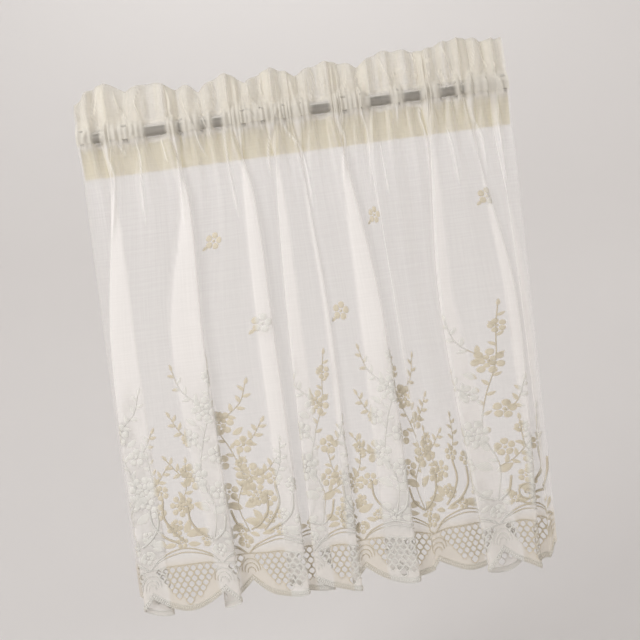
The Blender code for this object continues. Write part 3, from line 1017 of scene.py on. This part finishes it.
class Mark(NamedTuple):
    """One stamped shape on the flat cloth: its kind, place, turn, length and width."""

    stamp: Stamp
    u: float
    z: float
    turn: float
    long: float
    wide: float


def smooth_path(points: Sequence[tuple[float, float]], steps: int = 8) -> np.ndarray:
    """A smooth path through points given in millimetres.

    Args:
        points: Corner places.
        steps: Places made for each stretch.

    Returns:
        The path's places in metres.
    """
    p = np.array(points, float) * MM
    p = np.vstack([2 * p[0] - p[1], p, 2 * p[-1] - p[-2]])
    path = []
    for i in range(1, len(p) - 2):
        for t in np.linspace(0, 1, steps, endpoint=False):
            path.append(
                0.5
                * (
                    2 * p[i]
                    + (p[i + 1] - p[i - 1]) * t
                    + (2 * p[i - 1] - 5 * p[i] + 4 * p[i + 1] - p[i + 2]) * t**2
                    + (3 * p[i] - p[i - 1] - 3 * p[i + 1] + p[i + 2]) * t**3
                )
            )
    path.append(p[-2])
    return np.array(path)


class Pattern:
    """Collects the flat marks and cords of the whole embroidery."""

    def __init__(self) -> None:
        """Starts an empty pattern."""
        self.marks: list[Mark] = []
        self.cords: list[tuple[np.ndarray, float]] = []

    def flower(self, u: float, z: float, across: float, turn: float, petals: int = 5) -> None:
        """A round flower of separate petals about a knot."""
        for i in range(petals):
            angle = turn + 2 * math.pi * i / petals
            start = 0.13 * across
            self.marks.append(
                Mark(
                    Stamp.PETAL,
                    u + start * math.sin(angle),
                    z + start * math.cos(angle),
                    angle,
                    0.38 * across,
                    0.40 * across * 5 / petals,
                )
            )
        self.marks.append(Mark(Stamp.KNOT, u, z, 0.0, 0.19 * across, 0.19 * across))

    def leaf(self, u: float, z: float, turn: float, long: float, wide: float) -> None:
        """A pointed leaf that starts at its place and grows along its turn."""
        self.marks.append(Mark(Stamp.LEAF, u, z, turn, long, wide))

    def blossom(self, u: float, z: float, across: float, turn: float) -> None:
        """A full blossom: a ring of seven broad petals under a small flower."""
        for i in range(7):
            angle = turn + 2 * math.pi * i / 7
            out = 0.22 * across
            place = (u + out * math.sin(angle), z + out * math.cos(angle))
            self.marks.append(Mark(Stamp.PETAL, *place, angle, 0.29 * across, 0.27 * across))
        self.flower(u, z, 0.50 * across, turn + 0.4)

    def ring(self, u: float, z: float, half_width: float, half_height: float) -> None:
        """The bound rim of one opening of the net."""
        self.marks.append(Mark(Stamp.RING, u, z, 0.0, half_height, half_width))

    def cord(self, path: np.ndarray, girth: float) -> None:
        """A raised cord along a flat path."""
        self.cords.append((path, girth))

    def sprig(self, path: np.ndarray, leaves: int, size: float, start: float = 0.15) -> None:
        """A stem with leaves on both sides and one at its end."""
        self.cord(path, 0.8 * MM)
        run = np.concatenate([[0], np.cumsum(np.linalg.norm(np.diff(path, axis=0), axis=1))])
        for i in range(leaves):
            share = start + (1 - start) * i / max(leaves - 1, 1)
            at = share * run[-1]
            place = [np.interp(at, run, path[:, c]) for c in (0, 1)]
            ahead = [np.interp(at + 1 * MM, run, path[:, c]) for c in (0, 1)]
            behind = [np.interp(at - 1 * MM, run, path[:, c]) for c in (0, 1)]
            heading = math.atan2(ahead[0] - behind[0], ahead[1] - behind[1])
            side = 0.0 if i == leaves - 1 else (0.95 if i % 2 else -0.95)
            grow = size * (1.0 - 0.25 * share)
            self.leaf(place[0], place[1], heading + side, grow, grow * 0.44)


@dataclass
class Embroidery:
    """The embroidery: sprays, posies, single flowers, scrolls and the hem's cords.

    Sprays and posies are given by flat place, hand and, for sprays, height share. Single flowers
    are given by their hung place and their width in millimetres.
    """

    foot_z: float = -0.700
    lift: float = 0.35 * MM
    relief: float = 1.0
    # fmt: off
    sprays: tuple[tuple[float, int, float], ...] = (
        (0.114, 1, 0.80), (0.243, -1, 0.90), (0.384, 1, 0.78), (0.645, -1, 0.84),
        (0.812, -1, 0.88), (0.978, 1, 0.80), (1.252, -1, 0.97),
    )
    posies: tuple[tuple[float, int], ...] = (
        (0.186, -1), (0.416, 1), (0.735, -1), (1.035, 1), (1.322, 1),
    )
    singles: tuple[tuple[float, float, float], ...] = (
        (-0.165, -0.199, 28.0), (0.114, -0.191, 28.0), (0.311, -0.185, 28.0),
        (-0.100, -0.349, 31.0), (0.036, -0.346, 31.0),
    )
    # fmt: on

    def draw(self, drape: Drape, net: Net) -> Pattern:
        """Draws the flat pattern.

        Args:
            drape: Finds the flat places of the single flowers.
            net: Says where the hem's border and openings lie.

        Returns:
            The pattern.
        """
        pattern = Pattern()
        for u, hand, size in self.sprays:
            self._spray(pattern, u, hand, size)
        for u, hand in self.posies:
            self._posy(pattern, u, hand)
        for i in range(SCALLOPS):
            self._swag(pattern, (i + 0.5) * SCALLOP_WIDTH)
        for x, z, across in self.singles:
            self._single(pattern, drape.flat_place(x, z), z, across * MM)
        for u, z, wide, high in net.openings():
            pattern.ring(u, z, wide + 0.7 * MM, high + 0.7 * MM)
        self._hem_cords(pattern)
        pattern.marks = [m for m in pattern.marks if self._fits(m, 4 * MM)]
        return pattern

    @staticmethod
    def _fits(mark: Mark, edge: float) -> bool:
        """Whether a mark lies clear of the cloth's side edges."""
        tip = mark.u + mark.long * math.sin(mark.turn)
        return edge < min(mark.u, tip) and max(mark.u, tip) < CLOTH_WIDTH - edge

    def _at(
        self, middle: float, hand: float, points: Sequence[tuple[float, float]], high: float = 1.0
    ) -> np.ndarray:
        """A smooth path from millimetre points beside a motif's foot, mirrored by hand."""
        path = smooth_path([(hand * a, high * b) for a, b in points])
        return path + np.array([middle, self.foot_z])

    def _group(
        self, pattern: Pattern, u: float, hand: int, rows: Sequence[tuple], high: float = 1.0
    ) -> None:
        """Adds rows of (what, a, b, size, turn) beside a motif's foot, in millimetres."""
        for what, a, b, size, turn in rows:
            place = (u + hand * a * MM, self.foot_z + high * b * MM)
            if what == "leaf":
                pattern.leaf(*place, hand * turn, size * MM, 0.48 * size * MM)
            elif what == "blossom":
                pattern.blossom(*place, size * MM, hand * turn)
            else:
                pattern.flower(*place, size * MM, hand * turn)

    def _spray(self, pattern: Pattern, u: float, hand: int, high: float) -> None:
        """The tall spray: a winding stem with sprigs, round flowers and two full blossoms."""
        main = [(0, 0), (-10, 60), (6, 120), (-4, 180), (-22, 240), (-28, 300), (-34, 338)]
        pattern.sprig(self._at(u, hand, main, high), 17, 16 * MM, 0.2)
        for points, leaves, size in (
            ([(-22, 240), (2, 262), (22, 286), (32, 322)], 8, 17),
            ([(8, 186), (30, 204), (46, 236)], 7, 17),
            ([(-24, 152), (-44, 170), (-54, 204)], 7, 16),
            ([(18, 118), (42, 128), (62, 156)], 7, 17),
            ([(-10, 60), (-36, 74), (-58, 104)], 7, 16),
        ):
            pattern.sprig(self._at(u, hand, points, high), leaves, size * MM)
        for points in ([(4, 4), (22, 14), (36, 34), (38, 60)], [(-2, 2), (-18, 16), (-24, 40)]):
            pattern.cord(self._at(u, hand, points), 2.0 * MM)
        # fmt: off
        rows = (
            ("flower", -30, 304, 23, 0.2), ("blossom", -14, 244, 41, 0.7),
            ("flower", 16, 192, 29, 0.1), ("flower", -26, 158, 31, 1.0),
            ("blossom", 18, 122, 45, 0.4), ("flower", -20, 92, 29, 0.0),
            ("flower", 40, 70, 27, 0.5), ("flower", -46, 40, 24, 0.9),
            ("flower", 60, 34, 21, 0.3), ("leaf", 0, 56, 30, 1.1),
            ("leaf", -4, 52, 28, -1.2), ("leaf", 6, 20, 27, 1.9),
            ("leaf", -8, 18, 24, -2.0), ("leaf", 2, 88, 24, 0.5),
            ("leaf", 2, 216, 21, 1.0),
        )
        # fmt: on
        self._group(pattern, u, hand, rows, high)
        self._scroll(pattern, u - hand * 46 * MM, self.foot_z + 10 * MM, 19 * MM, hand)

    def _posy(self, pattern: Pattern, u: float, hand: int) -> None:
        """The low posy: curved stems with flowers and sprigs over broad leaves."""
        stems = ([(-6, 2), (10, 20), (24, 46), (22, 76)], [(2, 0), (26, 12), (44, 34), (48, 62)])
        for points in stems:
            pattern.cord(self._at(u, hand, points), 2.0 * MM)
        for points, leaves, size in (
            ([(22, 84), (34, 112), (38, 148)], 7, 16),
            ([(-8, 64), (-22, 92), (-26, 132)], 7, 16),
            ([(50, 70), (62, 92), (66, 116)], 5, 15),
        ):
            pattern.sprig(self._at(u, hand, points), leaves, size * MM)
        # fmt: off
        rows = (
            ("flower", 22, 88, 25, 0.3), ("flower", 50, 76, 24, 0.9),
            ("blossom", -8, 62, 36, 0.5), ("flower", -24, 120, 19, 0.0),
            ("leaf", -10, 12, 29, -1.25), ("leaf", -8, 16, 25, -0.45),
            ("leaf", 26, 0, 26, 1.4), ("flower", 6, 22, 21, 0.2),
            ("flower", 56, 18, 20, 0.6), ("flower", -44, 2, 18, 0.1),
        )
        # fmt: on
        self._group(pattern, u, hand, rows)

    @staticmethod
    def _scroll(pattern: Pattern, u: float, z: float, radius: float, hand: float) -> None:
        """A spiral scroll of flat cord."""
        angle = np.linspace(0.4, 2.1 * 2 * math.pi, 60)
        reach = radius * (angle / angle[-1]) ** 0.8
        path = np.column_stack([u + hand * reach * np.sin(angle), z - reach * np.cos(angle)])
        pattern.cord(path, 1.5 * MM)

    @staticmethod
    def _single(pattern: Pattern, u: float, z: float, across: float) -> None:
        """A flower by itself, wider on the flat where the gathers draw the cloth in."""
        pattern.flower(u, z, across, 0.25)
        pattern.leaf(u - 0.35 * across, z - 0.3 * across, -2.2, 0.4 * across, 0.2 * across)

    def _swag(self, pattern: Pattern, u: float) -> None:
        """The double cords that arch over a scallop's net, with a flower and leaves between."""
        for rise, girth in ((27, 1.3), (20, 1.0)):
            points = [(-60, -36), (-42, -36 + 0.55 * rise), (0, -36 + rise)]
            points += [(42, -36 + 0.55 * rise), (60, -36)]
            pattern.cord(self._at(u, 1, points), girth * MM)
        foot = self.foot_z
        pattern.flower(u, foot + 1 * MM, 20 * MM, 0.0)
        pattern.flower(u - SCALLOP_WIDTH / 2, foot - 16 * MM, 22 * MM, 0.4)
        for side in (-1, 1):
            pattern.leaf(u + side * 10 * MM, foot - 2 * MM, side * 1.7, 22 * MM, 9 * MM)
            pattern.leaf(u + side * 36 * MM, foot - 8 * MM, side * 1.2, 18 * MM, 8 * MM)
            pattern.leaf(u + side * 50 * MM, foot - 20 * MM, side * 0.5, 17 * MM, 8 * MM)

    @staticmethod
    def _hem_cords(pattern: Pattern) -> None:
        """The satin edge of the scallops and the line inside it, one run for each scallop."""
        for i in range(SCALLOPS):
            u = np.linspace(i, i + 1, 45) * SCALLOP_WIDTH
            edge = hem_line(np.clip(u, i * SCALLOP_WIDTH + 1e-5, (i + 1) * SCALLOP_WIDTH - 1e-5))
            for inside, girth in ((0.9, 0.9), (8.4, 1.0)):
                pattern.cord(np.column_stack([u, edge + inside * MM]), girth * MM)
            for at in np.linspace(u[0] + 2 * MM, u[-1] - 2 * MM, 42):
                slope = float(hem_line(np.array([at + 1e-4]))[0] - hem_line(np.array([at]))[0])
                turn = -math.atan(slope / 1e-4)
                middle = float(hem_line(np.array([at]))[0]) + 4.6 * MM
                stitch = Mark(Stamp.KNOT, at, middle, turn, 6.8 * MM, 2.9 * MM)
                pattern.marks.append(stitch)
        for i in range(SCALLOPS + 1):
            for radius in (9.0, 15.0, 21.0):
                angle = np.linspace(-1.25, 1.25, 18)
                rise = radius * (1.0 + 0.25 * np.cos(2 * angle))
                u = i * SCALLOP_WIDTH + rise * MM * np.sin(angle)
                z = HEM_Z + 0.011 + rise * MM * np.cos(angle)
                pattern.cord(np.column_stack([u, z]), 0.8 * MM)
        top = np.linspace(0, CLOTH_WIDTH, 480)
        pattern.cord(np.column_stack([top, np.full(len(top), NET_TOP_Z)]), 0.9 * MM)

    def build(self, drape: Drape, net: Net, yarn: bpy.types.Material) -> list[bpy.types.Object]:
        """Makes the embroidery as raised yarn on the hanging cloth.

        Args:
            drape: Where flat places hang.
            net: The hem's openings.
            yarn: The lace yarn's material.

        Returns:
            The stamped shapes and the cords.
        """
        pattern = self.draw(drape, net)
        stamped = stamp_marks(pattern.marks, yarn, self.relief)
        corded = run_cords(pattern.cords, yarn)
        for piece in (stamped, corded):
            points = read_points(piece.data)
            points[:, 1] -= self.lift
            store_flat(piece.data, points[:, [0, 2]])
            places, fold = drape.carry(points)
            # Painted light: the hem border's marks take most of the whiter lit colour of the folds.
            border = points[:, 2] < hem_line(points[:, 0]) + net.border
            fold = np.maximum(fold, 0.65 * border)
            write_points(piece.data, places)
            store_values(piece.data, "fold", "FLOAT", fold.astype(np.float32))
        return [stamped, corded]


def read_points(mesh: bpy.types.Mesh) -> np.ndarray:
    """The mesh's vertex places."""
    points = np.empty(len(mesh.vertices) * 3)
    mesh.vertices.foreach_get("co", points)
    return points.reshape(-1, 3)


def write_points(mesh: bpy.types.Mesh, points: np.ndarray) -> None:
    """Sets the mesh's vertex places."""
    mesh.vertices.foreach_set("co", points.astype(np.float32).ravel())
    mesh.update()


def petal_mesh() -> bpy.types.Mesh:
    """A petal 1 long and 1 wide that grows up from its base, domed in real height."""
    sides = 12
    points = [(0.0, -0.9 * MM, 0.55)]
    for share, height in ((0.55, 0.85), (0.9, 0.45), (1.0, 0.0)):
        for x, z in circle(sides):
            wide = 0.5 * share * x * (1.0 + 0.12 * z)
            points.append((wide, -height * MM, 0.55 + 0.5 * share * z))
    return new_mesh("petal", points, dome_faces(sides, 3))


def leaf_mesh() -> bpy.types.Mesh:
    """A pointed leaf 1 long and 1 wide with a sunk midrib, growing up from its base."""
    stations = np.linspace(0, 1, 8)
    lanes = ((-1.0, 0.0), (-0.5, 0.85), (0.0, 0.35), (0.5, 0.85), (1.0, 0.0))
    points, faces = [], []
    for t in stations:
        half = 0.5 * math.sin(math.pi * t**0.85) ** 0.8 if 0 < t < 1 else 0.0
        bend = 0.10 * math.sin(math.pi * t)
        for lane, height in lanes:
            tall = height * MM * (0.25 + 0.75 * math.sin(math.pi * t))
            points.append((lane * half + bend, -tall, float(t)))
    wide = len(lanes)
    for a in range(0, (len(stations) - 1) * wide, wide):
        faces += [(a + i, a + i + 1, a + wide + i + 1, a + wide + i) for i in range(wide - 1)]
    return new_mesh("leaf", points, faces)


def knot_mesh() -> bpy.types.Mesh:
    """A small round knot 1 across, domed in real height."""
    sides = 8
    points = [(0.0, -1.5 * MM, 0.0)]
    for share, height in ((0.6, 1.25), (1.0, 0.0)):
        points += [(0.5 * share * x, -height * MM, 0.5 * share * z) for x, z in circle(sides)]
    return new_mesh("knot", points, dome_faces(sides, 2))


def ring_mesh() -> bpy.types.Mesh:
    """A rounded-diamond rim of half-width 1, domed in real height."""
    sides, squareness = 16, 1.6
    lanes = ((0.88, 0.0), (0.97, 0.75), (1.10, 0.75), (1.19, 0.0))
    points, faces = [], []
    for share, height in lanes:
        for place in circle(sides):
            x, z = (math.copysign(abs(c) ** squareness, c) for c in place)
            points.append((share * x, -height * MM, share * z))
    for ring in range(len(lanes) - 1):
        faces += band_faces(ring * sides, sides)
    return new_mesh("ring", points, faces)


def new_tree(name: str, label: str) -> tuple[bpy.types.NodeTree, bpy.types.Node]:
    """A geometry tree with a Geometry input and output and one named number.

    Args:
        name: The tree's name.
        label: The number's name.

    Returns:
        The tree and its input node.
    """
    tree = bpy.data.node_groups.new(name, "GeometryNodeTree")
    for title, way, kind in (
        ("Geometry", "INPUT", "NodeSocketGeometry"),
        (label, "INPUT", "NodeSocketFloat"),
        ("Geometry", "OUTPUT", "NodeSocketGeometry"),
    ):
        tree.interface.new_socket(title, in_out=way, socket_type=kind)
    return tree, add_node(tree, "NodeGroupInput")


def end_tree(tree: bpy.types.NodeTree, geometry, material: bpy.types.Material) -> None:
    """Makes a tree's instances real, gives them their material and puts them out."""
    real = add_node(tree, "GeometryNodeRealizeInstances", None, {0: geometry})
    inputs = {0: real.outputs[0], "Material": material}
    dressed = add_node(tree, "GeometryNodeSetMaterial", None, inputs)
    add_node(tree, "NodeGroupOutput", None, {0: dressed.outputs[0]})


def named(tree: bpy.types.NodeTree, name: str, kind: str):
    """A stored attribute's value in a geometry tree."""
    settings, inputs = {"data_type": kind}, {"Name": name}
    return add_node(tree, "GeometryNodeInputNamedAttribute", settings, inputs).outputs["Attribute"]


def store_values(mesh: bpy.types.Mesh, name: str, kind: str, values) -> None:
    """Stores one value for each vertex, three numbers each for a FLOAT_VECTOR."""
    store = mesh.attributes.new(name, kind, "POINT")
    store.data.foreach_set("vector" if kind == "FLOAT_VECTOR" else "value", values)


def grow(source: bpy.types.Object, tree: bpy.types.NodeTree, values: dict, name: str):
    """Runs a geometry tree on an object and keeps the result as a plain mesh.

    Args:
        source: The helper object, which is removed.
        tree: The geometry tree.
        values: Input values by input name.
        name: The new object's name.

    Returns:
        The object with the plain mesh.
    """
    modifier = source.modifiers.new("grow", "NODES")
    modifier.node_group = tree
    for item in tree.interface.items_tree:
        if item.name in values:
            modifier[item.identifier] = values[item.name]
    source.update_tag()
    graph = bpy.context.evaluated_depsgraph_get()
    mesh = bpy.data.meshes.new_from_object(source.evaluated_get(graph), depsgraph=graph)
    source.modifiers.remove(modifier)
    bpy.data.objects.remove(source, do_unlink=True)
    mesh.name = name
    return add_object(name, mesh)


def stamp_marks(
    marks: Sequence[Mark], yarn: bpy.types.Material, relief_share: float
) -> bpy.types.Object:
    """Stamps petals, leaves, knots and rims on the flat cloth with Geometry Nodes.

    Args:
        marks: What is stamped where.
        yarn: Its material.
        relief_share: How far the shapes stand out, as a share of their own height.

    Returns:
        The stamped shapes, still flat.
    """
    pool = bpy.data.collections.new("stamp_pool")
    for number, mesh in enumerate((petal_mesh(), leaf_mesh(), knot_mesh(), ring_mesh())):
        pool.objects.link(bpy.data.objects.new(f"stamp_{number}", mesh))
    places = new_mesh("stamp_places", [(m.u, 0.0, m.z) for m in marks], [])
    store_values(places, "kind", "INT", [m.stamp.value for m in marks])
    store_values(places, "turn", "FLOAT", [m.turn for m in marks])
    sizes = [c for m in marks for c in (m.wide, 1.0, m.long)]
    store_values(places, "size", "FLOAT_VECTOR", sizes)
    tree, entry = new_tree("stamp_marks", "Relief")
    relief = {0: 1.0, 1: entry.outputs["Relief"], 2: 1.0}
    relief = add_node(tree, "ShaderNodeCombineXYZ", None, relief).outputs[0]
    scale = {0: named(tree, "size", "FLOAT_VECTOR"), 1: relief}
    scale = add_node(tree, "ShaderNodeVectorMath", {"operation": "MULTIPLY"}, scale)
    euler = add_node(tree, "ShaderNodeCombineXYZ", None, {1: named(tree, "turn", "FLOAT")})
    rotation = add_node(tree, "FunctionNodeEulerToRotation", None, {0: euler.outputs[0]})
    inputs = {"Collection": pool, "Separate Children": True, "Reset Children": True}
    shapes = add_node(tree, "GeometryNodeCollectionInfo", None, inputs)
    inputs = {
        "Points": entry.outputs["Geometry"],
        "Instance": shapes.outputs[0],
        "Pick Instance": True,
        "Instance Index": named(tree, "kind", "INT"),
        "Rotation": rotation.outputs[0],
        "Scale": scale.outputs[0],
    }
    placed = add_node(tree, "GeometryNodeInstanceOnPoints", None, inputs)
    end_tree(tree, placed.outputs[0], yarn)
    source = add_object("stamp_places", places)
    grown = grow(source, tree, {"Relief": relief_share}, "embroidery_flowers")
    for thing in list(pool.objects):
        bpy.data.objects.remove(thing, do_unlink=True)
    bpy.data.collections.remove(pool)
    return grown


def run_cords(
    cords: Sequence[tuple[np.ndarray, float]], yarn: bpy.types.Material
) -> bpy.types.Object:
    """Runs raised cords along flat paths with Geometry Nodes.

    Args:
        cords: Paths of (u, z) places, each with its half thickness.
        yarn: Its material.

    Returns:
        The cords, still flat.
    """
    points, edges, girths = [], [], []
    for path, girth in cords:
        kept = path[(path[:, 0] > 1 * MM) & (path[:, 0] < CLOTH_WIDTH - 1 * MM)]
        if len(kept) < 3:
            continue
        start = len(points)
        points += [(u, 0.0, z) for u, z in kept]
        edges += [(start + i, start + i + 1) for i in range(len(kept) - 1)]
        girths += [girth] * len(kept)
    lines = bpy.data.meshes.new("cord_lines")
    lines.from_pydata(points, edges, [])
    store_values(lines, "girth", "FLOAT", girths)
    tree, entry = new_tree("run_cords", "Spacing")
    curve = add_node(tree, "GeometryNodeMeshToCurve", None, {0: entry.outputs["Geometry"]})
    girth = named(tree, "girth", "FLOAT")
    inputs = {"Curve": curve.outputs[0], "Length": entry.outputs["Spacing"]}
    even = add_node(tree, "GeometryNodeResampleCurve", {"mode": "LENGTH"}, inputs)
    inputs = {"Resolution": 6, "Radius": 1.0}
    profile = add_node(tree, "GeometryNodeCurvePrimitiveCircle", {"mode": "RADIUS"}, inputs)
    inputs = {"Curve": even.outputs[0], "Radius": girth}
    sized = add_node(tree, "GeometryNodeSetCurveRadius", None, inputs)
    inputs = {"Curve": sized.outputs[0], "Profile Curve": profile.outputs[0]}
    tube = add_node(tree, "GeometryNodeCurveToMesh", None, inputs)
    if "Scale" in tube.inputs:
        tree.links.new(girth, tube.inputs["Scale"])
    end_tree(tree, tube.outputs[0], yarn)
    source = add_object("cord_lines", lines)
    return grow(source, tree, {"Spacing": 2.4 * MM}, "embroidery_cords")


# ---- studio


class Lamp(NamedTuple):
    """One soft square light: its place, the place it faces, its size, power and colour."""

    name: str
    place: tuple[float, float, float]
    target: tuple[float, float, float]
    size: float
    power: float
    colour: str


@dataclass
class Studio:
    """The plain pale round studio, its soft lights and the camera."""

    paint: str = "E4E1DF"
    floor_z: float = -1.15
    span: float = 1.091
    centre: tuple[float, float, float] = (0.0, 0.0, -0.357)
    roll: float = math.radians(7.6)
    lens: float = 50.0
    world: str = "F3F3F4"
    world_strength: float = 0.54
    lamps: tuple[Lamp, ...] = (
        Lamp("key", (-1.5, -1.6, 0.9), (0, 0, -0.35), 1.0, 34.0, "FFFFFF"),
        Lamp("fill", (1.6, -1.5, 0.1), (0, 0, -0.35), 1.6, 6.0, "FFFDFA"),
        Lamp("wall", (0.0, 1.4, 1.9), (0, 2.4, -0.6), 2.0, 14.0, "FFFFFF"),
    )

    def camera(self) -> None:
        """Sets the camera in front of the curtain, rolled as in the photograph."""
        data = bpy.data.cameras.new("camera")
        data.lens = self.lens
        data.sensor_width = 36.0
        camera = bpy.data.objects.new("camera", data)
        away = self.span / 2 / (data.sensor_width / 2 / self.lens)
        camera.location = Vector(self.centre) + Vector((0.0, -away, 0.0))
        camera.rotation_euler = Euler((math.pi / 2, self.roll, 0.0))
        bpy.context.scene.collection.objects.link(camera)
        bpy.context.scene.camera = camera

    def cove(self) -> None:
        """The floor, which curves up all round into a wall."""
        turn = [math.radians(a) for a in range(0, 91, 9)]
        profile = [(0.0, 0.0), (0.7, 0.0), (1.3, 0.0)]
        profile += [(1.4 + 1.2 * math.sin(a), 1.2 - 1.2 * math.cos(a)) for a in turn]
        profile += [(2.6, 2.2), (2.6, 3.4)]
        sides = 96
        points = [(0.0, 0.0, self.floor_z)]
        for r, h in profile[1:]:
            for i in range(sides):
                angle = 2 * math.pi * i / sides
                points.append((r * math.cos(angle), r * math.sin(angle), self.floor_z + h))
        mesh = new_mesh("floor", points, dome_faces(sides, len(profile) - 1))
        floor = add_object("floor", mesh)
        material, tree = new_material("matt_studio_paint")
        paint = add_node(tree, "ShaderNodeBsdfDiffuse", None, {"Color": rgba(self.paint)})
        show(tree, paint.outputs[0])
        mesh.materials.append(material)

    @staticmethod
    def light(lamp: Lamp) -> None:
        """Makes one light, which the camera doesn't see."""
        data = bpy.data.lights.new(lamp.name, "AREA")
        data.size, data.energy, data.color = lamp.size, lamp.power, linear(lamp.colour)
        light = bpy.data.objects.new(lamp.name, data)
        light.location = lamp.place
        away = Vector(lamp.place) - Vector(lamp.target)
        light.rotation_euler = away.to_track_quat("Z", "Y").to_euler()
        light.visible_camera = False
        bpy.context.scene.collection.objects.link(light)

    def build(self) -> None:
        """Makes the camera, the floor, the lights and the pale world."""
        self.camera()
        self.cove()
        for lamp in self.lamps:
            self.light(lamp)
        world = bpy.data.worlds.new("pale_world")
        world.use_nodes = True
        pale = world.node_tree.nodes["Background"].inputs
        pale["Color"].default_value = rgba(self.world)
        pale["Strength"].default_value = self.world_strength
        bpy.context.scene.world = world
        bpy.context.scene.view_settings.view_transform = "Standard"


def report(piece: bpy.types.Object) -> None:
    """Logs a finished piece and its triangles."""
    LOG.info("%s: %d triangles", piece.name, sum(len(p.vertices) - 2 for p in piece.data.polygons))


def main() -> None:
    """Builds the studio, the curtain and its lace, and dresses the rod."""
    logging.basicConfig(level=logging.INFO, format="%(message)s")
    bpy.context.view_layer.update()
    Studio().build()
    drape, heading, net = Drape(), Heading(), Net()
    sheet = Sheet().build(drape, heading, net)
    sheet.data.materials.append(VoileFinish().make())
    report(sheet)
    pieces = Embroidery().build(drape, net, LaceThreadFinish().make())
    for piece in pieces:
        report(piece)
    for piece in (sheet, *pieces):
        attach(piece, "root")
    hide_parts("curtain")
    rod = frame["nodes"]["rod"]
    for place in rod.material_slots:
        place.material = SteelFinish().make()
    LOG.info("rod: brushed steel")
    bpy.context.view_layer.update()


if __name__ == "__main__":
    main()
